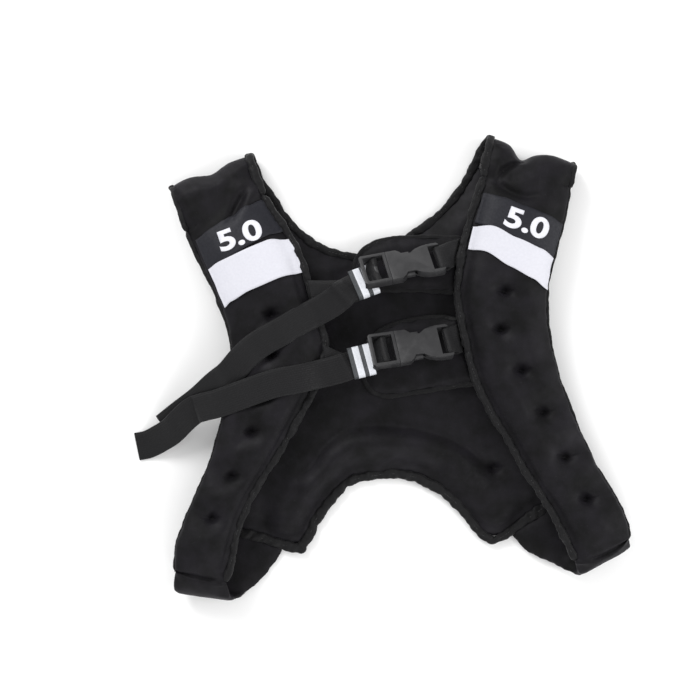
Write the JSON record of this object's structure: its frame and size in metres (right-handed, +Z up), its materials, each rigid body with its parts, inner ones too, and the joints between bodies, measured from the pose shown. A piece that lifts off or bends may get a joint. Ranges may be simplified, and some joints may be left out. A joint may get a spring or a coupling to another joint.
{
  "type": "weighted training vest",
  "caption": "Short padded weighted vest with an open front, lying flat on its back, closed by webbing straps and side release buckles.",
  "frame": {"origin": "on the surface that the vest lies on, under the middle of its padded back", "axes": "+Z up from that surface, +Y towards the neck, +X towards the wearer's left"},
  "size_m": [0.5087, 0.4757, 0.0657],
  "materials": {
    "neoprene": "black knit laminated neoprene",
    "binding": "black knitted edge tape",
    "webbing": "black woven webbing",
    "plastic": "black moulded acetal, satin",
    "label": "white reflective satin tape",
    "patch": "dark navy coated cloth with a plain white number",
    "keeper": "dark grey elastic with two light stripes"
  },
  "bodies": {
    "root": {"back_panel": "neoprene", "front_panel_left": "neoprene", "front_panel_right": "neoprene", "shoulder_left": "neoprene", "shoulder_right": "neoprene", "side_band_left": "neoprene", "side_band_right": "neoprene", "flap_upper": "neoprene", "flap_lower": "neoprene", "binding_neckline": "binding", "binding_back_left": "binding", "binding_back_right": "binding", "binding_waist": "binding", "binding_front_left_inner": "binding", "binding_front_left_outer": "binding", "binding_front_right_inner": "binding", "binding_front_right_outer": "binding", "flap_border_upper": "binding", "flap_border_lower": "binding", "ladder_upper": "plastic", "ladder_lower": "plastic", "socket_upper": "plastic", "socket_lower": "plastic", "socket_web_upper": "webbing", "socket_web_lower": "webbing", "strap_upper": "webbing", "strap_lower": "webbing", "keeper_upper": "keeper", "keeper_lower": "keeper", "weight_patch_left": "patch", "weight_patch_right": "patch", "label_left": "label", "label_right": "label"}
  },
  "joints": []
}
